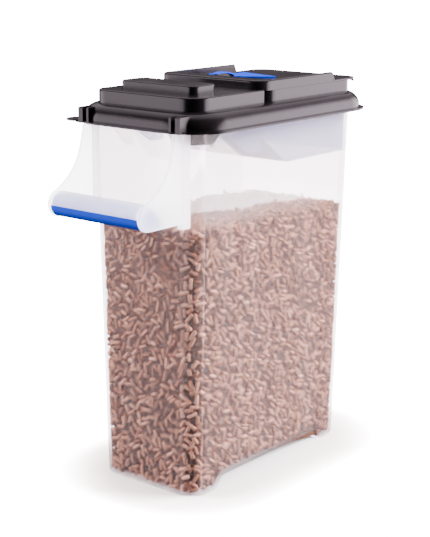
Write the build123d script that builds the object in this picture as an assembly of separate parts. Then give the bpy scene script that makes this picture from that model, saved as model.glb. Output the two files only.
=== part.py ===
from build123d import *
import os
from math import cos, radians, sin

# Pet food bin: a tall tapered tub with a clip-on carrying handle on its front end, a black lift-off lid with a
# raised plateau, and a hinged spout cover over the pouring mouth at the rear end. Millimetres, +Z up.
# Every shape is drawn about the tub's own centre line (X = 0 is the middle of the tub, the handle is at -X) and
# moved by FRAME_SHIFT at the end, so that the origin is under the middle of the whole object, on the floor.

# ---- Tub -----------------------------------------------------------------------------------------------------
BASE_HALF_X = 139.2
BASE_HALF_Y = 68.8
BASE_CORNER = 22.0
DRAFT = 7.07 / 400.0            # how far each wall leans out for every millimetre of height
RIM_Z = 408.0
WALL = 2.4
FLOOR = 2.6
FOOT_FILLET = 3.0
CHANNEL_HEIGHT = 14.0           # the raised strip of base between the two feet
CHANNEL_HALF_TOP = 91.5
CHANNEL_HALF_BOTTOM = 101.0
CORNER_GROWTH = 0.1             # how much faster the corners open out than the walls lean
RIM_REACH = 12.0                # how far the rim turns out over the wall
RIM_LIP_Z = 401.0
RIM_THICK = 2.6
RIM_WALL = 2.2
RIM_SOFTEN = 0.8
RIM_CORNER = 44.0

# ---- Handle bracket ------------------------------------------------------------------------------------------
WING_INNER_Y = 60.4
WING_THICK = 4.0
WING_TOP_Z = 399.4
WING_TOP_X = -165.2
WING_BOTTOM_Z = 306.6
WING_WAIST = ((-177.4, 361.0), (-191.6, 345.2))    # X and Z on the front edge's sweep
WING_SOFTEN = 1.2
LOBE_JOIN = 115.0               # direction, in degrees, where the sweep runs into the lobe
BAR_X = -204.5
BAR_Z = 320.7
LOBE_RADIUS = 14.2
BAR_RADIUS = 13.4
BAR_TAIL_X = -190.6
BAR_TAIL_RADIUS = 5.2
BAR_SHELL = 2.6
BAR_BITE = 0.5                  # how far the bar's ends run into the wings
ROOT_BACK_X = -143.0
ROOT_FRONT_X = -154.4
ROOT_FOOT_Z = 301.2
RAIL_WIDTH = 2.8
RAIL_GROOVE = 3.2
RAIL_BOTTOM_Z = 306.2
RAIL_TOP_Z = 396.0
RAIL_FRONT_X = -150.6
RAIL_BACK_X = -140.6
RAIL_CLEARANCE = 0.4
ROOT_SPREAD = 1.8               # how far the wing's root stands out on each side of the wing
GRIP_GAP = 0.2

# ---- Feed ----------------------------------------------------------------------------------------------------
FEED_TOP_Z = 300.0
FEED_GAP = 0.5

# ---- Lid -----------------------------------------------------------------------------------------------------
LID_Z = 400.0
FLANGE_HALF_X = 167.5
FLANGE_HALF_Y = 97.1
FLANGE_CORNER = 53.0
FLANGE_THICK = 1.8
FLANGE_LEDGE = 5.2              # how far the flange stands out past the skirt
DECK_Z = 419.6
BULLNOSE = 15.0
LID_WALL = 2.4
PLATEAU_Z = 434.0
PLATEAU_FRONT_X = -143.3
PLATEAU_REAR_X = -28.5
BLOCK_HALF_Y = 72.8
PLATEAU_CORNER = 22.0
STEP_Z = 443.3
STEP_FRONT_X = -121.0
STEP_REAR_X = -81.5
STEP_HALF_Y = 52.0
STEP_CORNER = 9.0
EDGE_SOFTEN = 1.8
COLLAR_FRONT_X = -25.0
COLLAR_REAR_X = 145.0
COLLAR_CORNER = 17.0
BRIDGE_HALF_Y = 60.0            # the plateau and the collar are joined between these, with a notch outside them
COLLAR_Z = 432.3
MOUTH_FRONT_X = -12.0
MOUTH_CORNER = 12.0
SEAL_INSET = 7.0                # the seal's middle line, outside the tub's wall
SEAL_WIDTH = 4.0
SEAL_HEIGHT = 5.8
SEAL_GAP = 0.05
SEAL_CLEARANCE = 0.1
SEAL_CORNER = 36.0
SEAL_RIB = 9.0
SEAL_RIB_Z = 410.4
GUIDE_Z = 386.0                 # lowest point of the corner guide
GUIDE_GAP = 0.9
GUIDE_THICK = 2.0
GUIDE_SIDE_X = 116.0            # where a leg's lower edge ends on the tub's long side
GUIDE_END_Y = 42.0              # and on its front end
GUIDE_SLOPE = 40.0
FIN_TOP_Z = 417.0
FIN_FRONT_X = -164.6
FIN_REAR_X = -140.0
FIN_SOFTEN = 1.5
FIN_SPANS = ((55.5, 58.5), (64.0, 70.5))
TAB_RADIUS = 13.5
TAB_CENTRE = (-146.5, 87.0)
NUB_RADIUS = 1.6
NUB_CENTRE = (-155.5, 81.0)

# ---- Pour chute ----------------------------------------------------------------------------------------------
CHUTE_HALF_Y = 68.4
CHUTE_WALL = 2.0
CHUTE_TOP_Z = DECK_Z - LID_WALL
CHUTE_REAR_X = 133.0
CHUTE_FRONT_X = -27.6
CHUTE_LOW_Z = 350.4
CHUTE_LIP_X = 19.0              # front edge of the chute's open lower end
CHUTE_BEND = (12.5, 354.2)      # X and Z where the baffle turns towards the lip
CHUTE_BEND_BACK = (13.6, 355.8)
CHUTE_LIP_BACK_X = 22.2
CHUTE_SLOPE_TOP_Z = 382.6       # where the baffle leaves its upright part
CHUTE_WING = ((-100, DECK_Z - LID_WALL), (-79, 385.5), (-54.7, 369.4), (-31, 367.2), (-31, 384.4))
CHUTE_FLANGE = 5.8
CHUTE_CORNER = 16.0
CHUTE_OVERLAP = 0.5

# ---- Spout cover ---------------------------------------------------------------------------------------------
COVER_Z = 432.5
COVER_FRONT_X = -35.0
COVER_CORNER = 18.0
COVER_PLATE = 2.0
COVER_END_X = 158.0
COVER_TOP_Z = 443.5
COVER_SOFTEN = 2.4
COVER_BORDER = 20.0             # width of the wall at the hinge end
COVER_HOLLOW_HALF_Y = 58.0      # the space inside that wall, open underneath
COVER_INNER_CORNER = 14.0
COVER_PLATE_SOFTEN = 0.8
COVER_SIDE = 4.0
COVER_WALL_END_X = 101.0
COVER_LIP_DROP = 2.6            # how far the free end's lip turns down below the plate
COVER_LIP_WALL = 2.0
COVER_LIP_START_X = 147.5
COVER_WALL_SLOPE = 4.5
PLUG_FRONT_X = -6.0
PLUG_REAR_X = 126.0
PLUG_HALF_Y = 65.0
PLUG_DEPTH = 4.0
PLUG_WALL = 1.8
PLUG_CORNER = 12.0

# ---- Cover hinge ---------------------------------------------------------------------------------------------
HINGE_X = -29.5
HINGE_Z = 438.2
KNUCKLE_RADIUS = 2.4
HINGE_PIN_RADIUS = 1.25
HINGE_BORE_RADIUS = 1.31
ARM_SPAN = (30.0, 36.0)         # the lid's two swan-neck arms, between the middle plane and the side
CHEEK_SPANS = ((26.2, 29.6), (36.4, 39.8))
CHEEK_RISE = 3.2
ARM_POST_X = (-22.4, -19.2)
ARM_TOP_Z = 439.9
TROUGH_REAR_X = -23.2           # the trough under the hinge end, where the cover's lower edge swings through
TROUGH_HALF_Y = 67.0
TROUGH_Z = 429.8
GROOVE = 1.6                    # open gap in front of the cover's hinge end

# ---- Pull ----------------------------------------------------------------------------------------------------
PULL_X = 28.0                   # its hinge line
PULL_Z = 437.2
PULL_ARM_SPAN = (39.5, 47.5)    # its one arm, between the middle plane and the side
PULL_THICK = 1.4
PULL_GAP = 0.3                  # under the folded pull
PULL_EYE_RADIUS = 2.4
PULL_STUB_RADIUS = 1.1
PULL_BORE_RADIUS = 1.18
PULL_LUG_SPANS = ((36.7, 39.1), (47.9, 50.3))
PULL_LUG_RADIUS = 2.4
PULL_STUB_END = 0.4
PULL_CREST = (46.0, 440.4)      # X and Z of the top of the finger arch
PULL_ARM_END_X = 64.0
PULL_HORN = (94.8, 48.5)        # X and Y of the paddle's far corner
PULL_TIP = (80.0, -8.0)        # of its pointed end
PULL_HEEL = (47.5, 28.0)        # and of its rear corner
PULL_FRONT_DIP = (85.2, 22.0)   # middle of the hollowed edge from horn to tip
PULL_REAR_BULGE = (64.0, 2.5)  # middle of the full edge from tip to heel

# The whole object runs from the front of the handle's lobe to the rear of the lid's flange.
FRAME_SHIFT = (LOBE_RADIUS - BAR_X - FLANGE_HALF_X) / 2

os.makedirs("parts", exist_ok=True)


# ---- Helpers -------------------------------------------------------------------------------------------------
def slab(half_x, half_y, corner, z_low, z_high, centre_x=0.0):
    """A rounded rectangle standing from z_low to z_high."""
    outline = Pos(centre_x, 0, z_low) * RectangleRounded(2 * half_x, 2 * half_y, corner)
    return extrude(outline, z_high - z_low)


def span_slab(x_low, x_high, half_y, corner, z_low, z_high):
    """A rounded rectangle between two X positions."""
    return slab((x_high - x_low) / 2, half_y, corner, z_low, z_high, (x_low + x_high) / 2)


def block(x_low, x_high, y_low, y_high, z_low, z_high):
    """A plain box between two corners."""
    middle = Pos((x_low + x_high) / 2, (y_low + y_high) / 2, (z_low + z_high) / 2)
    return middle * Box(x_high - x_low, y_high - y_low, z_high - z_low)


def tapered(inset, z_low, z_high):
    """The tub's tapering outline, moved in from its outer wall by inset."""
    sections = []
    for z in (z_low, z_high):
        half_x = BASE_HALF_X + DRAFT * z - inset
        half_y = BASE_HALF_Y + DRAFT * z - inset
        corner = BASE_CORNER + DRAFT * z * CORNER_GROWTH - inset
        sections.append(Pos(0, 0, z) * RectangleRounded(2 * half_x, 2 * half_y, corner))
    return loft(sections)


def side_profile(points, y_low, y_high):
    """A closed outline in X and Z, carried from y_low to y_high."""
    face = make_face(Polyline(*[(x, 0, z) for x, z in points], close=True))
    return Pos(0, y_high, 0) * extrude(face, y_high - y_low, dir=(0, -1, 0))


def rod(x, z, radius, y_low, y_high):
    """A round bar along Y."""
    return Pos(x, (y_low + y_high) / 2, z) * Rot(90, 0, 0) * Cylinder(radius, y_high - y_low)


def both_sides(solid):
    """The solid with its mirror image across the middle plane."""
    return solid + mirror(solid, Plane.XZ)


def soften_top(solid, radius):
    """Round the rim of the solid's highest face."""
    return fillet(solid.faces().sort_by(Axis.Z)[-1].edges(), radius)


# ---- Tub -----------------------------------------------------------------------------------------------------
def channel(grow):
    """The space between the feet, grown by a wall thickness."""
    low = -1.0
    points = [
        (-CHANNEL_HALF_BOTTOM - grow, low),
        (-CHANNEL_HALF_TOP - grow, CHANNEL_HEIGHT + grow),
        (CHANNEL_HALF_TOP + grow, CHANNEL_HEIGHT + grow),
        (CHANNEL_HALF_BOTTOM + grow, low),
    ]
    return side_profile(points, -BASE_HALF_Y - 10, BASE_HALF_Y + 10)


def tub_outline(grow):
    """Half sizes of the tub at its rim, outside the walls, grown by a reach."""
    return BASE_HALF_X + DRAFT * RIM_Z + grow, BASE_HALF_Y + DRAFT * RIM_Z + grow


def make_container():
    outer = tapered(0, 0, RIM_Z)
    outer = fillet(outer.faces().sort_by(Axis.Z)[0].edges(), FOOT_FILLET)
    half_x, half_y = tub_outline(RIM_REACH)
    rim = slab(half_x, half_y, RIM_CORNER, RIM_LIP_Z, RIM_Z)
    rim -= slab(half_x - RIM_WALL, half_y - RIM_WALL, RIM_CORNER - RIM_WALL, RIM_LIP_Z - 1, RIM_Z - RIM_THICK)
    tub = outer + soften_top(rim, RIM_SOFTEN)
    rail_y = WING_INNER_Y + WING_THICK / 2
    rail = block(RAIL_FRONT_X, RAIL_BACK_X, -rail_y - RAIL_WIDTH / 2, -rail_y + RAIL_WIDTH / 2,
                 RAIL_BOTTOM_Z, RAIL_TOP_Z)
    tub += both_sides(rail)
    tub -= tapered(WALL, FLOOR, RIM_Z + 1) - channel(FLOOR)
    return tub - channel(0)


# ---- Handle bracket and its grip -----------------------------------------------------------------------------
def wing_outline():
    """The side view of one wing: narrow under the lid, sweeping out to the round lobe at the grip."""
    join = radians(LOBE_JOIN)
    lobe_start = (BAR_X + LOBE_RADIUS * cos(join), 0, BAR_Z + LOBE_RADIUS * sin(join))
    lobe_front = (BAR_X - LOBE_RADIUS, 0, BAR_Z)
    lobe_bottom = (BAR_X, 0, BAR_Z - LOBE_RADIUS)
    waist = [(x, 0, z) for x, z in WING_WAIST]
    sweep = [(WING_TOP_X, 0, WING_TOP_Z), *waist, lobe_start]
    back = ROOT_BACK_X
    edges = [
        Spline(*sweep, tangents=[(-0.2, 0, -1), (-sin(join), 0, cos(join))]),
        ThreePointArc(lobe_start, lobe_front, lobe_bottom),
        Polyline(lobe_bottom, (back, 0, WING_BOTTOM_Z), (back, 0, WING_TOP_Z), sweep[0]),
    ]
    return make_face(edges)


def bar_section(inset):
    """The grip's teardrop section, moved in by inset."""
    front = Pos(BAR_X, BAR_Z) * Circle(BAR_RADIUS - inset)
    tail_z = BAR_Z - BAR_RADIUS + BAR_TAIL_RADIUS
    tail = Pos(BAR_TAIL_X, tail_z) * Circle(BAR_TAIL_RADIUS - inset)
    return make_hull(front.edges() + tail.edges())


def bar(inset, half_length):
    """The teardrop carried across the handle, between -half_length and +half_length."""
    section = Plane((0, half_length, 0), x_dir=(1, 0, 0), z_dir=(0, -1, 0)) * bar_section(inset)
    return extrude(section, 2 * half_length)


def grip_slice(z_low, z_high):
    """The space around the grip between two heights."""
    reach = 3 * BAR_RADIUS
    return block(BAR_X - reach, BAR_X + reach, -WING_INNER_Y - 10, WING_INNER_Y + 10, z_low, z_high)


def make_handle_bracket():
    inner = -WING_INNER_Y
    outer = inner - WING_THICK
    wing = Pos(0, inner, 0) * extrude(wing_outline(), WING_THICK, dir=(0, -1, 0))
    wing = fillet(wing.edges().filter_by(GeomType.BSPLINE), WING_SOFTEN)
    root = block(ROOT_FRONT_X, ROOT_BACK_X, outer - ROOT_SPREAD, inner + ROOT_SPREAD, ROOT_FOOT_Z, WING_TOP_Z)
    rail_y = (inner + outer) / 2
    groove = block(RAIL_FRONT_X - RAIL_CLEARANCE, ROOT_BACK_X + 1, rail_y - RAIL_GROOVE / 2,
                   rail_y + RAIL_GROOVE / 2, RAIL_BOTTOM_Z - GRIP_GAP, WING_TOP_Z + 1)
    side = wing + root - groove - tapered(-GRIP_GAP, ROOT_FOOT_Z - 5, WING_TOP_Z + 5)
    half_length = WING_INNER_Y + BAR_BITE
    shell = bar(0, half_length) - bar(BAR_SHELL, half_length + 1)
    shell -= grip_slice(BAR_Z - 3 * BAR_RADIUS, BAR_Z)
    return both_sides(side) + shell


def make_grip_insert():
    half_length = WING_INNER_Y - GRIP_GAP
    lower = bar(0, half_length) & grip_slice(BAR_Z - 3 * BAR_RADIUS, BAR_Z - GRIP_GAP)
    core = bar(BAR_SHELL + GRIP_GAP, half_length) & grip_slice(BAR_Z - BAR_RADIUS / 2, BAR_Z + BAR_RADIUS * 2 / 3)
    return lower + core


# ---- Feed ----------------------------------------------------------------------------------------------------
def make_feed():
    return tapered(WALL + FEED_GAP, FLOOR + FEED_GAP, FEED_TOP_Z) - channel(FLOOR + FEED_GAP)


# ---- Lid -----------------------------------------------------------------------------------------------------
def lid_solid(inset):
    """The lid's bullnosed cap with its plateau and collar, moved in from the outside by inset."""
    half_x = FLANGE_HALF_X - FLANGE_LEDGE - inset
    half_y = FLANGE_HALF_Y - FLANGE_LEDGE - inset
    corner = FLANGE_CORNER - FLANGE_LEDGE - inset
    low = LID_Z - (1 if inset else 0)
    cap = soften_top(slab(half_x, half_y, corner, low, DECK_Z - inset), BULLNOSE - inset)
    side = BLOCK_HALF_Y - inset
    buried = DECK_Z - 6
    plateau = span_slab(PLATEAU_FRONT_X + inset, PLATEAU_REAR_X + 60, side, PLATEAU_CORNER - inset,
                        buried, PLATEAU_Z - inset)
    plateau = soften_top(plateau, EDGE_SOFTEN)
    plateau -= block(PLATEAU_REAR_X - inset, PLATEAU_REAR_X + 100, -200, 200, buried - 1, PLATEAU_Z + 1)
    collar = span_slab(COLLAR_FRONT_X + inset, COLLAR_REAR_X - inset, side, COLLAR_CORNER - inset,
                       buried, COLLAR_Z - inset)
    bridge_side = BRIDGE_HALF_Y - inset
    bridge = block(PLATEAU_REAR_X - 5, COLLAR_FRONT_X + 5, -bridge_side, bridge_side, buried, COLLAR_Z - inset)
    step = span_slab(STEP_FRONT_X + inset, STEP_REAR_X - inset, STEP_HALF_Y - inset, STEP_CORNER - inset,
                     DECK_Z, STEP_Z - inset)
    return cap + plateau + collar + bridge + soften_top(step, EDGE_SOFTEN)


def corner_guide():
    """A curved leg that centres the lid in the tub's front corner on the -Y side, deepest at the corner."""
    half_x = BASE_HALF_X + DRAFT * GUIDE_Z - WALL - GUIDE_GAP
    half_y = BASE_HALF_Y + DRAFT * GUIDE_Z - WALL - GUIDE_GAP
    corner = BASE_CORNER - WALL
    low = GUIDE_Z - 1
    top = DECK_Z - 1
    ring = slab(half_x, half_y, corner, GUIDE_Z, top)
    ring -= slab(half_x - GUIDE_THICK, half_y - GUIDE_THICK, corner - GUIDE_THICK, low, top + 1)
    beyond = half_x + 5
    rear = side_profile([(-GUIDE_SIDE_X, low), (GUIDE_SLOPE - GUIDE_SIDE_X, top + 1), (beyond, top + 1),
                         (beyond, low)], -beyond, beyond)
    front_gap = make_face(Polyline((0, -GUIDE_END_Y, low), (0, GUIDE_SLOPE / 2 - GUIDE_END_Y, top + 1),
                                   (0, beyond, top + 1), (0, beyond, low), close=True))
    return ring - rear - Pos(-beyond, 0, 0) * extrude(front_gap, beyond, dir=(1, 0, 0))


def cover_seat(grow, z_low):
    """The cover's outline with the groove around it, grown by a wall thickness, from z_low upwards."""
    reach = GROOVE + grow
    return span_slab(COVER_FRONT_X - reach, COVER_END_X, BLOCK_HALF_Y + reach, COVER_CORNER + reach,
                     z_low, PLATEAU_Z + 10)


def hinge_trough(grow):
    """The trough across the lid under the cover's hinge end, grown by a wall thickness."""
    low = TROUGH_Z - grow
    half_y = TROUGH_HALF_Y + grow
    return cover_seat(grow, low) & block(COVER_FRONT_X - 50, TROUGH_REAR_X + grow, -half_y, half_y,
                                         low - 1, PLATEAU_Z + 20)


def hinge_arms():
    """Two swan-neck arms that rise behind the trough and reach forward to the hinge line."""
    low, high = ARM_SPAN
    post_front, post_rear = ARM_POST_X
    arm = block(post_front, post_rear, low, high, COLLAR_Z - 1, ARM_TOP_Z)
    arm += block(HINGE_X, post_rear, low, high, 2 * HINGE_Z - ARM_TOP_Z, ARM_TOP_Z)
    arm += rod(HINGE_X, HINGE_Z, KNUCKLE_RADIUS, low, high)
    arm -= rod(HINGE_X, HINGE_Z, HINGE_PIN_RADIUS, low - 1, high + 1)
    return both_sides(arm)


def make_lid():
    shell = lid_solid(0)
    shell += slab(FLANGE_HALF_X, FLANGE_HALF_Y, FLANGE_CORNER, LID_Z, LID_Z + FLANGE_THICK)
    for low, high in FIN_SPANS:
        fin = block(FIN_FRONT_X, FIN_REAR_X, low, high, LID_Z, FIN_TOP_Z)
        top_front = fin.edges().filter_by(Axis.Y).sort_by(Axis.X)[:2].sort_by(Axis.Z)[-1:]
        shell += both_sides(fillet(top_front, FIN_SOFTEN))
    tab_foot = Pos(TAB_CENTRE[0], TAB_CENTRE[1], LID_Z + FLANGE_THICK / 2)
    shell += tab_foot * Cylinder(TAB_RADIUS, FLANGE_THICK)
    shell += Pos(*NUB_CENTRE, LID_Z) * Sphere(NUB_RADIUS)
    shell -= lid_solid(LID_WALL) - hinge_trough(LID_WALL)
    # seat of the spout cover, with an open groove in front of its hinge end
    shell -= cover_seat(0, COLLAR_Z)
    shell -= hinge_trough(0)
    # the pouring mouth
    mouth_side = CHUTE_HALF_Y - CHUTE_WALL
    shell -= span_slab(MOUTH_FRONT_X, CHUTE_REAR_X - CHUTE_WALL, mouth_side, MOUTH_CORNER, DECK_Z - 10, PLATEAU_Z)
    # seal channel on the underside
    rib = ring_around(SEAL_RIB / 2, SEAL_RIB_Z, DECK_Z - 1) & lid_solid(LID_WALL / 2)
    shell += rib
    groove_top = RIM_Z + SEAL_HEIGHT + SEAL_GAP + SEAL_CLEARANCE
    shell -= ring_around(SEAL_WIDTH / 2 + SEAL_CLEARANCE, RIM_Z, groove_top)
    return shell + corner_guide() + hinge_arms()


def ring_around(grow, z_low, z_high):
    """A rectangular ring over the tub's rim, reaching grow to each side of the seal's middle line."""
    half_x, half_y = tub_outline(SEAL_INSET)
    ring = slab(half_x + grow, half_y + grow, SEAL_CORNER + grow, z_low, z_high)
    return ring - slab(half_x - grow, half_y - grow, SEAL_CORNER - grow, z_low - 1, z_high + 1)


def make_lid_seal():
    low = RIM_Z + SEAL_GAP
    return ring_around(SEAL_WIDTH / 2, low, low + SEAL_HEIGHT)


def make_hinge_pins():
    return both_sides(rod(HINGE_X, HINGE_Z, HINGE_PIN_RADIUS, CHEEK_SPANS[0][0], CHEEK_SPANS[1][1]))


# ---- Pour chute ----------------------------------------------------------------------------------------------
def make_pour_chute():
    """A funnel hung under the mouth: two notched side plates, a sloping baffle and a rear wall."""
    inner = CHUTE_HALF_Y - CHUTE_WALL
    thick = CHUTE_WALL
    upright_low = (CHUTE_FRONT_X, CHUTE_SLOPE_TOP_Z)
    front = [upright_low, CHUTE_BEND, (CHUTE_LIP_X, CHUTE_LOW_Z)]
    side = [*CHUTE_WING, *front, (CHUTE_REAR_X, CHUTE_LOW_Z), (CHUTE_REAR_X, CHUTE_TOP_Z)]
    plates = both_sides(side_profile(side, inner, CHUTE_HALF_Y))
    back_x = CHUTE_FRONT_X + thick
    back = [(CHUTE_LIP_BACK_X, CHUTE_LOW_Z), CHUTE_BEND_BACK, (back_x, CHUTE_SLOPE_TOP_Z + 1.4),
            (back_x, CHUTE_TOP_Z)]
    half_width = inner + CHUTE_OVERLAP
    across = side_profile([(CHUTE_FRONT_X, CHUTE_TOP_Z), *front, *back], -half_width, half_width)
    across += block(CHUTE_REAR_X - thick, CHUTE_REAR_X, -half_width, half_width, CHUTE_LOW_Z, CHUTE_TOP_Z)
    flange_low = CHUTE_TOP_Z - thick
    flange = span_slab(CHUTE_FRONT_X - CHUTE_FLANGE, CHUTE_REAR_X + CHUTE_FLANGE, CHUTE_HALF_Y + CHUTE_FLANGE,
                       CHUTE_CORNER, flange_low, CHUTE_TOP_Z)
    flange -= block(back_x, CHUTE_REAR_X - thick, -inner, inner, flange_low - 1, CHUTE_TOP_Z + 1)
    return plates + across + flange


# ---- Spout cover ---------------------------------------------------------------------------------------------
def cover_shell():
    """The cover's plate with the raised wall along its hinge end and its two sides."""
    plate_top = COVER_Z + COVER_PLATE
    plate = span_slab(COVER_FRONT_X, COVER_END_X, BLOCK_HALF_Y, COVER_CORNER, COVER_Z, plate_top)
    plate = soften_top(plate, COVER_PLATE_SOFTEN)
    beyond = COVER_WALL_END_X + 80
    wall = span_slab(COVER_FRONT_X, beyond, BLOCK_HALF_Y, COVER_CORNER, COVER_Z, COVER_TOP_Z)
    wall = soften_top(wall, COVER_SOFTEN)
    inner_x = COVER_FRONT_X + COVER_BORDER
    wall -= span_slab(inner_x, beyond + 20, BLOCK_HALF_Y - COVER_SIDE, COVER_INNER_CORNER,
                      plate_top, COVER_TOP_Z + 1)
    past = [(COVER_WALL_END_X, COVER_TOP_Z + 1), (COVER_WALL_END_X + COVER_WALL_SLOPE, plate_top),
            (COVER_WALL_END_X, plate_top), (COVER_WALL_END_X, COVER_Z - 1),
            (beyond + 20, COVER_Z - 1), (beyond + 20, COVER_TOP_Z + 1)]
    wall -= side_profile(past, -BLOCK_HALF_Y - 10, BLOCK_HALF_Y + 10)
    hollow = block(COVER_FRONT_X + LID_WALL, inner_x - LID_WALL, -COVER_HOLLOW_HALF_Y, COVER_HOLLOW_HALF_Y,
                   COVER_Z - 1, COVER_TOP_Z - LID_WALL)
    return plate + wall - hollow + cover_lip()


def cover_lip():
    """The free end's downturned edge, where a thumb lifts the cover."""
    low = COVER_Z - COVER_LIP_DROP
    rim = span_slab(COVER_FRONT_X, COVER_END_X, BLOCK_HALF_Y, COVER_CORNER, low, COVER_Z + 1)
    rim -= span_slab(COVER_FRONT_X, COVER_END_X - COVER_LIP_WALL, BLOCK_HALF_Y - COVER_LIP_WALL,
                     COVER_CORNER - COVER_LIP_WALL, low - 1, COVER_Z + 2)
    return rim & block(COVER_LIP_START_X, COVER_END_X + 1, -BLOCK_HALF_Y - 1, BLOCK_HALF_Y + 1,
                       low - 1, COVER_Z + 2)


def cover_plug():
    """The shallow rim under the cover that closes the mouth."""
    low = COVER_Z - PLUG_DEPTH
    plug = span_slab(PLUG_FRONT_X, PLUG_REAR_X, PLUG_HALF_Y, PLUG_CORNER, low, COVER_Z + 1)
    return plug - span_slab(PLUG_FRONT_X + PLUG_WALL, PLUG_REAR_X - PLUG_WALL, PLUG_HALF_Y - PLUG_WALL,
                            PLUG_CORNER - PLUG_WALL, low - 1, COVER_Z)


def make_spout_cover():
    cover = cover_shell() + cover_plug()
    for low, high in CHEEK_SPANS:
        cheek = block(COVER_FRONT_X + 1, HINGE_X + 4, low, high, HINGE_Z - CHEEK_RISE, COVER_TOP_Z - 1)
        cheek -= rod(HINGE_X, HINGE_Z, HINGE_BORE_RADIUS, low - 1, high + 1)
        cover += both_sides(cheek)
    for low, high in PULL_LUG_SPANS:
        lug = rod(PULL_X, PULL_Z, PULL_LUG_RADIUS, low, high)
        lug += block(PULL_X - PULL_LUG_RADIUS, PULL_X + PULL_LUG_RADIUS, low, high,
                     COVER_Z + COVER_PLATE / 2, PULL_Z)
        cover += lug - rod(PULL_X, PULL_Z, PULL_BORE_RADIUS, low - 1, high + 1)
    return cover


# ---- Pull ----------------------------------------------------------------------------------------------------
def pull_paddle(floor):
    """The flat paddle: a horn beside the arm, narrowing to a tip across the middle plane."""
    def at(place):
        return (place[0], place[1], floor)

    arm_inner = (PULL_ARM_END_X, PULL_ARM_SPAN[0])
    arm_outer = (PULL_ARM_END_X, PULL_ARM_SPAN[1])
    edges = [
        ThreePointArc(at(PULL_HORN), at(PULL_FRONT_DIP), at(PULL_TIP)),
        ThreePointArc(at(PULL_TIP), at(PULL_REAR_BULGE), at(PULL_HEEL)),
        Polyline(at(PULL_HEEL), at(arm_inner), at(arm_outer), at(PULL_HORN)),
    ]
    return extrude(make_face(edges), PULL_THICK, dir=(0, 0, 1))


def pull_arm(floor):
    """The arched arm with its eye and the stub that turns in the cover's two lugs."""
    inner, outer = PULL_ARM_SPAN
    crest_x, crest_z = PULL_CREST
    end_x = PULL_ARM_END_X + 1
    half = PULL_THICK / 2
    under = ThreePointArc((PULL_X, 0, PULL_Z - half), (crest_x, 0, crest_z - PULL_THICK), (end_x, 0, floor))
    over = ThreePointArc((PULL_X, 0, PULL_Z + half), (crest_x, 0, crest_z), (end_x, 0, floor + PULL_THICK))
    ends = [Line(under @ 0, over @ 0), Line(under @ 1, over @ 1)]
    arm = Pos(0, outer, 0) * extrude(make_face([under, over] + ends), outer - inner, dir=(0, -1, 0))
    arm += rod(PULL_X, PULL_Z, PULL_EYE_RADIUS, inner, outer)
    return arm + rod(PULL_X, PULL_Z, PULL_STUB_RADIUS, PULL_LUG_SPANS[0][0] + PULL_STUB_END,
                     PULL_LUG_SPANS[1][1] - PULL_STUB_END)


def make_pull_bail():
    floor = COVER_Z + COVER_PLATE + PULL_GAP
    return pull_paddle(floor) + pull_arm(floor)


PARTS = {
    "container": make_container,
    "handle_bracket": make_handle_bracket,
    "grip_insert": make_grip_insert,
    "feed": make_feed,
    "lid": make_lid,
    "lid_seal": make_lid_seal,
    "pour_chute": make_pour_chute,
    "hinge_pins": make_hinge_pins,
    "spout_cover": make_spout_cover,
    "pull_bail": make_pull_bail,
}

for name, make in PARTS.items():
    shape = Pos(FRAME_SHIFT, 0, 0) * make()
    shape.label = name
    export_step(shape, f"parts/{name}.step")
    print(name, "solids", len(shape.solids()), "valid", shape.is_valid)
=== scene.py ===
import math

import bpy
import numpy as np
from mathutils import Matrix, Vector


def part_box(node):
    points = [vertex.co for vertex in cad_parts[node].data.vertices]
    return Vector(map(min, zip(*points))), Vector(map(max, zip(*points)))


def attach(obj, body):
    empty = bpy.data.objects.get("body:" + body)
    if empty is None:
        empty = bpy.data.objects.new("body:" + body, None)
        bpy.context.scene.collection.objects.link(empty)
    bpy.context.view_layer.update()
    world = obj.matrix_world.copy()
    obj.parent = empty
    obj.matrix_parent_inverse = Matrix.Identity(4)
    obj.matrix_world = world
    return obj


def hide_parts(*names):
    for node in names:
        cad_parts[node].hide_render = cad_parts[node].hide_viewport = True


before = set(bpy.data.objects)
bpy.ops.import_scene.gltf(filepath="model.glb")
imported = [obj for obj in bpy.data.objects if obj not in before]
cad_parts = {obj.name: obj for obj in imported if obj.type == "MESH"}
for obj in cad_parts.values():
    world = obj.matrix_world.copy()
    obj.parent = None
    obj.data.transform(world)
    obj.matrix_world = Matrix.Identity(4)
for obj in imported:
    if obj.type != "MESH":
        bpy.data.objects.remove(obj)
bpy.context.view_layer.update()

# ---- Camera ------------------------------------------------------------------------------------
CAMERA_PLACE = Vector((-1.15002, -0.92678, 0.59151))
CAMERA_HEADING = math.radians(38.72)      # from +X towards +Y
CAMERA_PITCH = math.radians(13.9)         # below level
CAMERA_ROLL = math.radians(0.36)
CAMERA_LENS_MM = 89.78
SENSOR_MM = 36.0

# ---- Pellets -----------------------------------------------------------------------------------
PELLET_SEED = 11
PELLET_RADIUS = (0.0018, 0.0023)
PELLET_LENGTH = (0.007, 0.0125)
PELLET_SIDES = 6
PELLET_SPACING = 0.0031         # least distance between neighbours' middle lines in a layer
PELLET_TRIES = 16000
LEVEL_TRIES = 3200              # for the loose top, and for the floor
PELLET_DEPTH = 0.0023           # how deep the pellets' middles lie behind the feed's outer face
PELLET_SHADE = (0.58, 0.20)     # mean and spread
PELLET_END_PLACES = (-0.5, -0.44, 0.44, 0.5)
PELLET_END_SIZES = (0.72, 1.0, 1.0, 0.72)
WALL_TUMBLE = 0.08              # how far pellets lean out of their layer, in radians
TOP_TUMBLE = 0.25
LEVEL_MARGIN = 0.004
CORNER_SAVING = 1.7             # what four rounded corners take off the outline, in corner radii
CORE_INSET = 0.0029
CORE_LIFT = 0.002
CORE_AROUND = 72
CORE_ROWS = 14
CORE_SHADE = 0.2
FEED_CORNER = 0.0195
FEED_SURFACE_SWELL = 0.004
SETTLED_DROP = 0.009            # how much lower the feed lies at the rear
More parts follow.
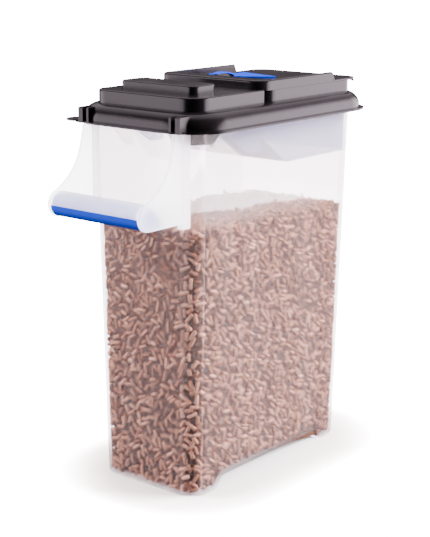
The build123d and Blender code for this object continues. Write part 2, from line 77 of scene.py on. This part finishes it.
SETTLED_CURVE = 1.6
RIPPLE_HEIGHT = 0.0016

# ---- Plastics --------------------------------------------------------------------------------------
HAZE_ROUGHNESS = 0.13
PLASTIC_IOR = 1.49
GRAZING_GLOSS = 0.15
VEIL_SPREAD = 0.015
PAINTED_HAZE_BAND = (0.292, 0.312)      # heights between which the wall goes from clear to painted haze, a whiter veil


def new_material(name, **settings):
    """A node material with its Principled sockets set, and its node tree, shader and output."""
    material = bpy.data.materials.new(name)
    material.use_nodes = True
    shader = material.node_tree.nodes["Principled BSDF"]
    for socket, value in settings.items():
        shader.inputs[socket.replace("_", " ")].default_value = value
    return material, material.node_tree, shader


def noise(tree, scale, detail=3.0, roughness=0.5, distortion=0.0, stretch=None):
    """A noise texture in object coordinates, in features per metre."""
    coordinates = tree.nodes.new("ShaderNodeTexCoord")
    texture = tree.nodes.new("ShaderNodeTexNoise")
    texture.inputs["Scale"].default_value = scale
    texture.inputs["Detail"].default_value = detail
    texture.inputs["Roughness"].default_value = roughness
    texture.inputs["Distortion"].default_value = distortion
    source = coordinates.outputs["Object"]
    if stretch is not None:
        mapping = tree.nodes.new("ShaderNodeMapping")
        mapping.inputs["Scale"].default_value = stretch
        tree.links.new(source, mapping.inputs["Vector"])
        source = mapping.outputs["Vector"]
    tree.links.new(source, texture.inputs["Vector"])
    return texture


def ramp(tree, source, stops):
    """A colour ramp over a value, from (place, colour) stops."""
    node = tree.nodes.new("ShaderNodeValToRGB")
    elements = node.color_ramp.elements
    while len(elements) < len(stops):
        elements.new(0.5)
    for element, (place, colour) in zip(elements, stops):
        element.position = place
        element.color = (*colour, 1.0)
    tree.links.new(source, node.inputs["Fac"])
    return node.outputs["Color"]


def spread(tree, source, low, high):
    """Map a texture's middle range onto low to high."""
    node = tree.nodes.new("ShaderNodeMapRange")
    node.inputs["From Min"].default_value = 0.3
    node.inputs["From Max"].default_value = 0.7
    node.inputs["To Min"].default_value = low
    node.inputs["To Max"].default_value = high
    tree.links.new(source, node.inputs["Value"])
    return node.outputs["Result"]


def math_node(tree, operation, *values):
    """A math node's result. Each value is a number or another node's output."""
    node = tree.nodes.new("ShaderNodeMath")
    node.operation = operation
    for place, value in enumerate(values):
        if isinstance(value, (int, float)):
            node.inputs[place].default_value = value
        else:
            tree.links.new(value, node.inputs[place])
    return node.outputs["Value"]


def mix_shaders(tree, share, first, second):
    """The first shader, replaced by the second as far as share says. No share means half and half."""
    node = tree.nodes.new("ShaderNodeMixShader")
    if share is not None:
        tree.links.new(share, node.inputs["Fac"])
    tree.links.new(first, node.inputs[1])
    tree.links.new(second, node.inputs[2])
    return node.outputs["Shader"]


def add_bump(tree, shader, source, strength, distance):
    """Small relief from a texture."""
    bump = tree.nodes.new("ShaderNodeBump")
    bump.inputs["Strength"].default_value = strength
    bump.inputs["Distance"].default_value = distance
    tree.links.new(source, bump.inputs["Height"])
    tree.links.new(bump.outputs["Normal"], shader.inputs["Normal"])


def dress(name, material):
    """Give a CAD node its finished material."""
    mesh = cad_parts[name].data
    mesh.materials.clear()
    mesh.materials.append(material)


# ---- Materials ---------------------------------------------------------------------------------
def moulded_black():
    """Satin black polypropylene with a fine spark-eroded grain."""
    material, tree, shader = new_material("moulded_black", Specular_IOR_Level=0.5)
    grain = noise(tree, 2600, 4.0, 0.6)
    clouds = noise(tree, 22, 3.0)
    tint = ramp(tree, clouds.outputs["Fac"], [
        (0.3, (0.0036, 0.0027, 0.0032)), (0.7, (0.0054, 0.0042, 0.0048))])
    tree.links.new(tint, shader.inputs["Base Color"])
    tree.links.new(spread(tree, clouds.outputs["Fac"], 0.19, 0.25), shader.inputs["Roughness"])
    add_bump(tree, shader, grain.outputs["Fac"], 0.12, 0.0001)
    return material


def moulded_blue():
    """Satin blue plastic with faint flow lines."""
    material, tree, shader = new_material("moulded_blue", Specular_IOR_Level=0.08)
    flow = noise(tree, 30, 3.0, 0.5, 0.4, (1.0, 0.15, 1.0))
    tint = ramp(tree, flow.outputs["Fac"], [(0.3, (0.000, 0.024, 0.32)), (0.7, (0.001, 0.032, 0.40))])
    tree.links.new(tint, shader.inputs["Base Color"])
    tree.links.new(spread(tree, flow.outputs["Fac"], 0.34, 0.42), shader.inputs["Roughness"])
    add_bump(tree, shader, noise(tree, 1800, 3.0).outputs["Fac"], 0.08, 0.0001)
    return material


def gloss_weight(tree, straight_on):
    """How much a clear plastic face reflects: Schlick's curve, the same from either side of the face."""
    edge = tree.nodes.new("ShaderNodeLayerWeight")
    edge.inputs["Blend"].default_value = 0.5
    curve = math_node(tree, "POWER", edge.outputs["Facing"], 5.0)
    return math_node(tree, "MULTIPLY_ADD", curve, GRAZING_GLOSS - straight_on, straight_on)


def hazy_share(tree, haze):
    """How much of what shows through is scattered. Light that falls on the inside is let through."""
    rays = tree.nodes.new("ShaderNodeLightPath")
    lighting = math_node(tree, "MAXIMUM", rays.outputs["Is Shadow Ray"], rays.outputs["Is Diffuse Ray"])
    return math_node(tree, "MULTIPLY_ADD", lighting, -haze, haze)


def painted_haze_share(tree, most):
    """Painted haze on the wall above the feed, a whiter veil that stands in for light the wall scatters over
    the feed's top: nothing below the haze band, and most above it.
    """
    coordinates = tree.nodes.new("ShaderNodeTexCoord")
    split = tree.nodes.new("ShaderNodeSeparateXYZ")
    tree.links.new(coordinates.outputs["Object"], split.inputs["Vector"])
    rise = tree.nodes.new("ShaderNodeMapRange")
    rise.interpolation_type = "SMOOTHSTEP"
    rise.inputs["From Min"].default_value, rise.inputs["From Max"].default_value = PAINTED_HAZE_BAND
    rise.inputs["To Max"].default_value = most
    tree.links.new(split.outputs["Z"], rise.inputs["Value"])
    return rise.outputs["Result"]


def milky(name, veil, tint, roughness, straight_on, dust_and_painted_haze=None, clear_tint=(1.0, 1.0, 1.0), haze=0.0):
    """Translucent polypropylene: a thin milky veil over what lies behind each face, under a soft gloss."""
    material, tree, shader = new_material(name, Specular_IOR_Level=0.0)
    clouds = noise(tree, 9, 4.0, 0.55)
    streaks = noise(tree, 60, 3.0, 0.5, 0.3, (1.0, 1.0, 0.06))
    dimple = noise(tree, 55, 2.0)
    shaded_tint = tuple(c * 0.96 for c in tint)
    colour = ramp(tree, clouds.outputs["Fac"], [(0.3, shaded_tint), (0.7, tint)])

    clear = tree.nodes.new("ShaderNodeBsdfTransparent")
    clear.inputs["Color"].default_value = (*clear_tint, 1.0)
    scattered = tree.nodes.new("ShaderNodeBsdfRefraction")
    scattered.inputs["Color"].default_value = (*clear_tint, 1.0)
    scattered.inputs["Roughness"].default_value = HAZE_ROUGHNESS
    scattered.inputs["IOR"].default_value = PLASTIC_IOR
    through = mix_shaders(tree, hazy_share(tree, haze), clear.outputs["BSDF"], scattered.outputs["BSDF"])

    tree.links.new(colour, shader.inputs["Base Color"])
    add_bump(tree, shader, dimple.outputs["Fac"], 0.06, 0.0004)
    glow = tree.nodes.new("ShaderNodeBsdfTranslucent")
    tree.links.new(colour, glow.inputs["Color"])
    film = mix_shaders(tree, None, shader.outputs["BSDF"], glow.outputs["BSDF"])
    cover = spread(tree, streaks.outputs["Fac"], veil - VEIL_SPREAD, veil + VEIL_SPREAD)
    # Painted haze: above the feed the veil grows whiter, standing in for light the wall scatters.
    if dust_and_painted_haze is not None:
        cover = math_node(tree, "ADD", cover, painted_haze_share(tree, dust_and_painted_haze))
    body = mix_shaders(tree, cover, through, film)

    gloss = tree.nodes.new("ShaderNodeBsdfGlossy")
    satin = spread(tree, clouds.outputs["Fac"], roughness - 0.03, roughness + 0.03)
    tree.links.new(satin, gloss.inputs["Roughness"])
    add_bump(tree, gloss, dimple.outputs["Fac"], 0.06, 0.0004)
    whole = mix_shaders(tree, gloss_weight(tree, straight_on), body, gloss.outputs["BSDF"])
    tree.links.new(whole, tree.nodes["Material Output"].inputs["Surface"])
    return material


def seal_rubber():
    """Dark rubber with a dusty bloom."""
    material, tree, shader = new_material("seal_rubber", Specular_IOR_Level=0.3)
    dust_and_painted_haze = noise(tree, 300, 4.0)
    tint = ramp(tree, dust_and_painted_haze.outputs["Fac"], [(0.3, (0.016, 0.016, 0.018)), (0.7, (0.03, 0.03, 0.032))])
    tree.links.new(tint, shader.inputs["Base Color"])
    tree.links.new(spread(tree, dust_and_painted_haze.outputs["Fac"], 0.6, 0.75), shader.inputs["Roughness"])
    return material


def pressed_feed():
    """Dry pressed feed: each pellet has its own shade, with bran flecks and ground fibres."""
    material, tree, shader = new_material("pressed_feed", Specular_IOR_Level=0.25)
    shade = tree.nodes.new("ShaderNodeAttribute")
    shade.attribute_name = "shade"
    tint = ramp(tree, shade.outputs["Fac"], [
        (0.0, (0.13, 0.048, 0.026)), (0.35, (0.33, 0.142, 0.083)),
        (0.7, (0.54, 0.26, 0.162)), (1.0, (0.78, 0.43, 0.29))])
    flecks = noise(tree, 900, 4.0, 0.7)
    fleck_tint = ramp(tree, flecks.outputs["Fac"], [(0.35, (0.62, 0.58, 0.56)), (0.6, (1.0, 1.0, 1.0))])
    mix = tree.nodes.new("ShaderNodeMix")
    mix.data_type = "RGBA"
    mix.blend_type = "MULTIPLY"
    mix.inputs[0].default_value = 0.8
    tree.links.new(tint, mix.inputs[6])
    tree.links.new(fleck_tint, mix.inputs[7])
    tree.links.new(mix.outputs[2], shader.inputs["Base Color"])
    tree.links.new(spread(tree, flecks.outputs["Fac"], 0.75, 0.95), shader.inputs["Roughness"])
    add_bump(tree, shader, flecks.outputs["Fac"], 0.5, 0.0004)
    return material


def painted_shade_feed_core():
    """The feed behind the outer pellets, without their shapes: a darker body of painted shade that stands for
    the shade deep in the gaps between the pellets.
    """
    material, tree, shader = new_material("painted_shade_feed_core", Specular_IOR_Level=0.1)
    crumbs = noise(tree, 260, 4.0, 0.6)
    # Painted shade: dark browns for the shaded depth between the pellets.
    tint = ramp(tree, crumbs.outputs["Fac"], [(0.35, (0.045, 0.019, 0.012)), (0.65, (0.12, 0.053, 0.033))])
    tree.links.new(tint, shader.inputs["Base Color"])
    tree.links.new(spread(tree, crumbs.outputs["Fac"], 0.85, 0.95), shader.inputs["Roughness"])
    add_bump(tree, shader, crumbs.outputs["Fac"], 0.8, 0.002)
    return material


# ---- Feed --------------------------------------------------------------------------------------
def pellet_shape():
    """One pellet about the origin, along X, 1 long and 1 in radius: its points and faces."""
    points = []
    for place, size in zip(PELLET_END_PLACES, PELLET_END_SIZES):
        for k in range(PELLET_SIDES):
            turn = 2 * math.pi * k / PELLET_SIDES
            points.append((place, size * math.cos(turn), size * math.sin(turn)))
    faces = []
    for ring in range(len(PELLET_END_PLACES) - 1):
        for k in range(PELLET_SIDES):
            a = ring * PELLET_SIDES + k
            b = ring * PELLET_SIDES + (k + 1) % PELLET_SIDES
            faces.append((a, b, b + PELLET_SIDES, a + PELLET_SIDES))
    last = (len(PELLET_END_PLACES) - 1) * PELLET_SIDES
    faces.append(tuple(reversed(range(PELLET_SIDES))))
    faces.append(tuple(range(last, last + PELLET_SIDES)))
    return np.array(points), faces


def feed_extent():
    """The feed's outer face, from its CAD node: middle X, half sizes at the top, lowest and highest Z."""
    low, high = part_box("feed")
    centre = (low.x + high.x) / 2
    return centre, (high.x - low.x) / 2, (high.y - low.y) / 2, low.z, high.z


FEED_CENTRE_X, FEED_HALF_X, FEED_HALF_Y, FEED_LOW_Z, FEED_TOP_Z = feed_extent()
TUB_DRAFT = 7.07 / 400
CHANNEL_HALF_X = 0.0985         # over the raised strip of the tub's base
CHANNEL_TOP_Z = 0.0172


def feed_surface(x, y):
    """Height of the feed's loose top, highest at the front and settled towards the rear."""
    along = np.clip((x - FEED_CENTRE_X + FEED_HALF_X) / (2 * FEED_HALF_X), 0, 1)
    ripple = np.sin(x * 71 + 1.3) * np.cos(y * 93 + 0.4) + 0.6 * np.sin(x * 161 + y * 130)
    return FEED_TOP_Z - FEED_SURFACE_SWELL - SETTLED_DROP * along ** SETTLED_CURVE + RIPPLE_HEIGHT * ripple


def feed_base(x):
    """Height of the tub's inner floor, raised over the channel."""
    return np.where(np.abs(x - FEED_CENTRE_X) < CHANNEL_HALF_X, CHANNEL_TOP_Z, FEED_LOW_Z)


def outline_points(fractions, depth, z):
    """Points at fractions of the feed's outline, depth behind its outer face at height z, and which
    way is outward at each."""
    shrink = TUB_DRAFT * (FEED_TOP_Z - z) + depth
    corner = FEED_CORNER - depth
    flat_x = FEED_HALF_X - shrink - corner
    flat_y = FEED_HALF_Y - shrink - corner
    arc = math.pi / 2 * corner
    runs = (2 * flat_y, arc, 2 * flat_x, arc) * 2
    total = sum(runs)
    starts = ((flat_x, -flat_y), (flat_x, flat_y), (-flat_x, flat_y), (-flat_x, -flat_y))
    places = []
    outwards = []
    for fraction in fractions:
        run = fraction % 1.0 * total
        piece = 0
        while run > runs[piece]:
            run -= runs[piece]
            piece += 1
        side = piece // 2
        heading = side * math.pi / 2
        if piece % 2 == 0:
            out = Vector((math.cos(heading), math.sin(heading)))
            along = Vector((-out.y, out.x))
            place = Vector(starts[side]) + out * corner + along * run
        else:
            turn = heading + run / corner
            out = Vector((math.cos(turn), math.sin(turn)))
            place = Vector(starts[(side + 1) % 4]) + out * corner
        places.append((place.x + FEED_CENTRE_X, place.y))
        outwards.append((out.x, out.y))
    return np.array(places), np.array(outwards)


def separation(a, b):
    """Least distance between two short segments in a plane, each given by its middle and half vector."""
    (ax, ay, au, av), (bx, by, bu, bv) = a, b
    least = 1.0
    for px, py, qx, qy, qu, qv in (
            (ax + au, ay + av, bx, by, bu, bv), (ax - au, ay - av, bx, by, bu, bv),
            (bx + bu, by + bv, ax, ay, au, av), (bx - bu, by - bv, ax, ay, au, av),
            (ax, ay, bx, by, bu, bv), (bx, by, ax, ay, au, av)):
        along = ((px - qx) * qu + (py - qy) * qv) / (qu * qu + qv * qv)
        along = max(-1.0, min(1.0, along))
        least = min(least, math.hypot(px - qx - along * qu, py - qy - along * qv))
    return least


def scattered_pellets(rng, width, height, tries):
    """Pellets strewn over a rectangle so that they hardly overlap: place, turn and length of each."""
    cell = PELLET_LENGTH[1]
    filed = {}
    kept = []
    for x, y, turn, length in zip(rng.uniform(0, width, tries), rng.uniform(0, height, tries),
                                  rng.uniform(0, math.pi, tries), rng.uniform(*PELLET_LENGTH, tries)):
        half = (length - PELLET_SPACING) / 2
        segment = (x, y, math.cos(turn) * half, math.sin(turn) * half)
        column, row = int(x / cell), int(y / cell)
        near = [other for i in (column - 1, column, column + 1) for j in (row - 1, row, row + 1)
                for other in filed.get((i, j), ())]
        if all(separation(segment, other) > PELLET_SPACING for other in near):
            filed.setdefault((column, row), []).append(segment)
            kept.append((x, y, turn, length))
    return np.array(kept)


def wall_pellets(rng):
    """Places, directions, turns and lengths of the pellets that lie against the tub's walls."""
    perimeter = 4 * (FEED_HALF_X + FEED_HALF_Y) - CORNER_SAVING * FEED_CORNER
    height = FEED_TOP_Z - FEED_LOW_Z
    strewn = scattered_pellets(rng, perimeter, height, PELLET_TRIES)
    middle = (FEED_LOW_Z + FEED_TOP_Z) / 2
    places, outwards = outline_points(strewn[:, 0] / perimeter, PELLET_DEPTH, middle)
    z = FEED_LOW_Z + PELLET_DEPTH + strewn[:, 1] / height * (height - PELLET_DEPTH)
    places = places - outwards * (TUB_DRAFT * (middle - z))[:, None]
    centres = np.column_stack([places, z])
    normals = np.column_stack([outwards, np.zeros(len(outwards))])
    under_top = z < feed_surface(centres[:, 0], centres[:, 1]) - PELLET_DEPTH * 0.6
    keep = under_top & (z > feed_base(centres[:, 0]) + 0.001)
    return centres[keep], normals[keep], strewn[keep, 2], strewn[keep, 3]


def level_pellets(rng, top):
    """The same for the pellets of the loose top, or for those that lie on the tub's floor."""
    shrink = 0.0 if top else TUB_DRAFT * (FEED_TOP_Z - FEED_LOW_Z)
    half_x = FEED_HALF_X - shrink - LEVEL_MARGIN
    half_y = FEED_HALF_Y - shrink - LEVEL_MARGIN
    strewn = scattered_pellets(rng, 2 * half_x, 2 * half_y, LEVEL_TRIES)
    x = FEED_CENTRE_X + strewn[:, 0] - half_x
    y = strewn[:, 1] - half_y
    z = feed_surface(x, y) - PELLET_DEPTH if top else feed_base(x) + PELLET_DEPTH
    normals = np.tile([0.0, 0.0, 1.0 if top else -1.0], (len(x), 1))
    return np.column_stack([x, y, z]), normals, strewn[:, 2], strewn[:, 3]


def turned_pellets(rng, centres, normals, turns, lengths, tumble):
    """Points of every pellet, turned in the plane of its normal and tumbled out of it a little."""
    shape, faces = pellet_shape()
    count = len(centres)
    helper = np.where(np.abs(normals[:, 2:3]) > 0.9, [[1.0, 0.0, 0.0]], [[0.0, 0.0, 1.0]])
    across = np.cross(helper, normals)
    across /= np.linalg.norm(across, axis=1, keepdims=True)
    upward = np.cross(normals, across)
    turn = turns[:, None]
    tilt = rng.normal(0, tumble, count)[:, None]
    along = (across * np.cos(turn) + upward * np.sin(turn)) * np.cos(tilt) + normals * np.sin(tilt)
    side = np.cross(normals, along)
    side /= np.linalg.norm(side, axis=1, keepdims=True)
    third = np.cross(along, side)
    length = lengths[:, None, None]
    radius = rng.uniform(*PELLET_RADIUS, count)[:, None, None]
    points = (centres[:, None, :] + shape[None, :, 0:1] * length * along[:, None, :]
              + shape[None, :, 1:2] * radius * side[:, None, :]
              + shape[None, :, 2:3] * radius * third[:, None, :])
    return points, faces


def press_inside(points):
    """Press every point that reaches through the feed's outer face back onto it."""
    x, y, z = points[..., 0], points[..., 1], points[..., 2]
    shrink = TUB_DRAFT * (FEED_TOP_Z - z)
    flat_x = FEED_HALF_X - shrink - FEED_CORNER
    flat_y = FEED_HALF_Y - shrink - FEED_CORNER
    over_x = np.maximum(np.abs(x - FEED_CENTRE_X) - flat_x, 0)
    over_y = np.maximum(np.abs(y) - flat_y, 0)
    reach = np.hypot(over_x, over_y)
    scale = np.where(reach > FEED_CORNER, FEED_CORNER / np.maximum(reach, 1e-9), 1.0)
    new_x = np.minimum(np.abs(x - FEED_CENTRE_X), flat_x) + over_x * scale
    new_y = np.minimum(np.abs(y), flat_y) + over_y * scale
    points[..., 0] = FEED_CENTRE_X + np.sign(x - FEED_CENTRE_X) * new_x
    points[..., 1] = np.sign(y) * new_y
    points[..., 2] = np.clip(z, feed_base(points[..., 0]), FEED_TOP_Z)
    return points


def core_mesh():
    """The closed body of feed behind the outer pellets, which carries the painted shade for the gaps between
    them: its points and faces.
    """
    middle = (FEED_LOW_Z + FEED_TOP_Z) / 2
    places, _ = outline_points(np.arange(CORE_AROUND) / CORE_AROUND, CORE_INSET, middle)
    points = []
    for row in range(CORE_ROWS + 1):
        share = row / CORE_ROWS
        low = feed_base(places[:, 0]) + CORE_LIFT
        high = feed_surface(places[:, 0], places[:, 1]) - CORE_INSET * 0.8
        z = low + share * (high - low)
        lean = 1 - TUB_DRAFT * (middle - z) / FEED_HALF_Y
        x = FEED_CENTRE_X + (places[:, 0] - FEED_CENTRE_X) * lean
        points.append(np.column_stack([x, places[:, 1] * lean, z]))
    faces = []
    for row in range(CORE_ROWS):
        for k in range(CORE_AROUND):
            a = row * CORE_AROUND + k
            b = row * CORE_AROUND + (k + 1) % CORE_AROUND
            faces.append((a, b, b + CORE_AROUND, a + CORE_AROUND))
    last = CORE_ROWS * CORE_AROUND
    faces.append(tuple(reversed(range(CORE_AROUND))))
    faces.append(tuple(range(last, last + CORE_AROUND)))
    return np.concatenate(points), faces


def build_feed():
    """The pile of pellets, which stands for the feed's solid."""
    rng = np.random.default_rng(PELLET_SEED)
    groups = (
        (*wall_pellets(rng), WALL_TUMBLE),
        (*level_pellets(rng, True), TOP_TUMBLE),
        (*level_pellets(rng, False), WALL_TUMBLE),
    )
    core_points, core_faces = core_mesh()
    all_points = [core_points]
    all_faces = list(core_faces)
    shades = [np.full(len(core_points), CORE_SHADE)]
    start = len(core_points)
    for centres, normals, turns, lengths, tumble in groups:
        points, faces = turned_pellets(rng, centres, normals, turns, lengths, tumble)
        points = press_inside(points)
        count, corners = points.shape[:2]
        all_points.append(points.reshape(-1, 3))
        shade = np.clip(rng.normal(*PELLET_SHADE, count), 0, 1)
        shades.append(np.repeat(shade, corners))
        for k in range(count):
            first = start + k * corners
            all_faces.extend(tuple(first + v for v in face) for face in faces)
        start += count * corners
    mesh = bpy.data.meshes.new("feed_pile")
    mesh.from_pydata(np.concatenate(all_points).tolist(), [], all_faces)
    mesh.materials.append(pressed_feed())
    mesh.materials.append(painted_shade_feed_core())
    attribute = mesh.attributes.new("shade", "FLOAT", "POINT")
    attribute.data.foreach_set("value", np.concatenate(shades).astype(np.float32))
    slots = np.zeros(len(all_faces), np.int32)
    # The core's faces take the second material, the painted shade.
    slots[:len(core_faces)] = 1
    mesh.polygons.foreach_set("material_index", slots)
    smooth = np.array([len(face) == 4 for face in all_faces])
    mesh.polygons.foreach_set("use_smooth", smooth)
    mesh.update()
    pile = bpy.data.objects.new("feed_pile", mesh)
    bpy.context.scene.collection.objects.link(pile)
    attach(pile, "tub")
    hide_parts("feed")


# ---- Camera, light and floor -------------------------------------------------------------------
def look_direction():
    """The camera's forward direction."""
    level = math.cos(CAMERA_PITCH)
    drop = -math.sin(CAMERA_PITCH)
    return Vector((math.cos(CAMERA_HEADING) * level, math.sin(CAMERA_HEADING) * level, drop))


def add_camera():
    """A long lens that looks down on the bin from beyond its front corner."""
    data = bpy.data.cameras.new("camera")
    data.lens = CAMERA_LENS_MM
    data.sensor_width = SENSOR_MM
    data.clip_end = 50
    forward = look_direction()
    right = Vector((math.sin(CAMERA_HEADING), -math.cos(CAMERA_HEADING), 0))
    upward = right.cross(forward)
    rolled_right = right * math.cos(CAMERA_ROLL) + upward * math.sin(CAMERA_ROLL)
    rolled_up = upward * math.cos(CAMERA_ROLL) - right * math.sin(CAMERA_ROLL)
    turn = Matrix((rolled_right, rolled_up, -forward)).transposed()
    camera = bpy.data.objects.new("camera", data)
    camera.matrix_world = Matrix.Translation(CAMERA_PLACE) @ turn.to_4x4()
    bpy.context.scene.collection.objects.link(camera)
    bpy.context.scene.camera = camera


SOFTBOXES = (                   # name, place, what it faces, sides in metres, watts
    ("softbox_right", (1.25, -1.45, 1.2), (0, 0, 0.22), (1.1, 1.1), 390),
    ("softbox_left", (-1.2, 1.5, 1.1), (0, 0, 0.22), (1.1, 1.1), 175),
    ("softbox_top", (0.1, 0.1, 1.9), (0, 0, 0.3), (1.4, 1.4), 26),
)


def add_softbox(name, place, target, size, power):
    """A rectangular studio softbox that faces its target. Reflections come from the world's cards instead."""
    data = bpy.data.lights.new(name, "AREA")
    data.shape = "RECTANGLE"
    data.size, data.size_y = size
    data.energy = power
    light = bpy.data.objects.new(name, data)
    light.location = place
    light.visible_glossy = False
    light.rotation_euler = (Vector(target) - Vector(place)).to_track_quat("-Z", "Y").to_euler()
    bpy.context.scene.collection.objects.link(light)


def lobe(tree, direction, heading_deg, lift_deg, low, high):
    """1 in the world's directions within an angle of the given one, fading to 0: low and high are cosines."""
    heading = math.radians(heading_deg)
    lift = math.radians(lift_deg)
    dot = tree.nodes.new("ShaderNodeVectorMath")
    dot.operation = "DOT_PRODUCT"
    level = math.cos(lift)
    dot.inputs[1].default_value = (math.cos(heading) * level, math.sin(heading) * level, math.sin(lift))
    tree.links.new(direction, dot.inputs[0])
    fade = tree.nodes.new("ShaderNodeMapRange")
    fade.interpolation_type = "SMOOTHSTEP"
    fade.inputs["From Min"].default_value = low
    fade.inputs["From Max"].default_value = high
    tree.links.new(dot.outputs["Value"], fade.inputs["Value"])
    return fade.outputs["Result"]


WORLD_BASE = 0.012
WORLD_LOBES = (                 # heading and lift in degrees, cosines where it starts and is full, strength
    (-30, -12, 0.66, 0.91, 6.0),    # a lit card and table to the rear right, towards +X and -Y
    (131, -12, 0.64, 0.89, 3.0),    # the same to the front left, towards -X and +Y
    (39, 60, 0.55, 0.95, 1.2),      # overhead
)
BACKDROP_WHITE = 20.0
BACKDROP_THROUGH = 12.0         # the backdrop and floor as they show through the tub


def backdrop_strength(tree, rays):
    """Plain white straight on, and held back where it is seen through translucent plastic."""
    depth = rays.outputs["Transparent Depth"]
    through = math_node(tree, "MAXIMUM", depth, rays.outputs["Is Transmission Ray"])
    step = tree.nodes.new("ShaderNodeMapRange")
    step.inputs["To Min"].default_value = BACKDROP_WHITE
    step.inputs["To Max"].default_value = BACKDROP_THROUGH
    tree.links.new(through, step.inputs["Value"])
    return step.outputs["Result"]


def build_world():
    """A white studio: plain white to the camera, with lit cards to the left, the right and overhead."""
    world = bpy.data.worlds.new("studio")
    world.use_nodes = True
    bpy.context.scene.world = world
    tree = world.node_tree
    tree.nodes.clear()
    direction = tree.nodes.new("ShaderNodeTexCoord").outputs["Generated"]
    total = WORLD_BASE
    for heading, lift, low, high, strength in WORLD_LOBES:
        card = lobe(tree, direction, heading, lift, low, high)
        total = math_node(tree, "MULTIPLY_ADD", card, strength, total)
    lit = tree.nodes.new("ShaderNodeBackground")
    lit.inputs["Color"].default_value = (1.0, 0.86, 0.955, 1.0)
    tree.links.new(total, lit.inputs["Strength"])
    rays = tree.nodes.new("ShaderNodeLightPath")
    white = tree.nodes.new("ShaderNodeBackground")
    white.inputs["Color"].default_value = (1.0, 0.965, 0.98, 1.0)
    tree.links.new(backdrop_strength(tree, rays), white.inputs["Strength"])
    seen = math_node(tree, "MAXIMUM", rays.outputs["Is Camera Ray"], rays.outputs["Is Transmission Ray"])
    output = tree.nodes.new("ShaderNodeOutputWorld")
    both = mix_shaders(tree, seen, lit.outputs["Background"], white.outputs["Background"])
    tree.links.new(both, output.inputs["Surface"])


FLOOR_HALF = 6.0
PAINTED_SHADOW_REACH = 0.08


def build_floor():
    """A pale glowing sweep with a painted contact shadow: its glow only darkens, to a brownish dark, where
    the bin stands close over it.
    """
    mesh = bpy.data.meshes.new("floor")
    corners = [(x * FLOOR_HALF, y * FLOOR_HALF, 0) for x, y in ((-1, -1), (1, -1), (1, 1), (-1, 1))]
    mesh.from_pydata(corners, [], [(0, 1, 2, 3)])
    material = bpy.data.materials.new("floor_white")
    material.use_nodes = True
    tree = material.node_tree
    shader = tree.nodes["Principled BSDF"]
    shader.inputs["Base Color"].default_value = (0.9, 0.89, 0.88, 1.0)
    shader.inputs["Roughness"].default_value = 0.6
    painted_shadow_nearness = tree.nodes.new("ShaderNodeAmbientOcclusion")
    painted_shadow_nearness.inputs["Distance"].default_value = PAINTED_SHADOW_REACH
    painted_shadow_nearness.samples = 8
    # Painted contact shadow: the glow's colour falls to brownish dark where the ambient occlusion finds the
    # bin close.
    glow = ramp(tree, painted_shadow_nearness.outputs["AO"], [
        (0.35, (0.008, 0.005, 0.004)), (0.76, (0.05, 0.032, 0.026)),
        (0.92, (0.30, 0.25, 0.24)), (0.975, (1.0, 1.0, 1.0))])
    tree.links.new(glow, shader.inputs["Emission Color"])
    rays = tree.nodes.new("ShaderNodeLightPath")
    tree.links.new(backdrop_strength(tree, rays), shader.inputs["Emission Strength"])
    mesh.materials.append(material)
    floor = bpy.data.objects.new("floor", mesh)
    bpy.context.scene.collection.objects.link(floor)
    floor.visible_diffuse = False
    floor.visible_glossy = False


# ---- The scene ---------------------------------------------------------------------------------
build_feed()
# The tub's extra veil above the feed is painted haze.
dress("container", milky("tub_milky", veil=0.035, tint=(0.93, 0.85, 0.87), roughness=0.12, straight_on=0.010,
                         dust_and_painted_haze=0.065, clear_tint=(0.96, 0.93, 0.945), haze=0.35))
dress("handle_bracket", milky("bracket_milky", veil=0.46, tint=(0.99, 0.96, 1.0), roughness=0.3,
                              straight_on=0.01, haze=0.5))
dress("pour_chute", milky("chute_frosted", veil=0.62, tint=(0.50, 0.54, 0.70), roughness=0.4,
                          straight_on=0.01))
black = moulded_black()
for name in ("lid", "spout_cover", "hinge_pins"):
    dress(name, black)
blue = moulded_blue()
for name in ("grip_insert", "pull_bail"):
    dress(name, blue)
dress("lid_seal", seal_rubber())

add_camera()
for softbox in SOFTBOXES:
    add_softbox(*softbox)
build_world()
build_floor()
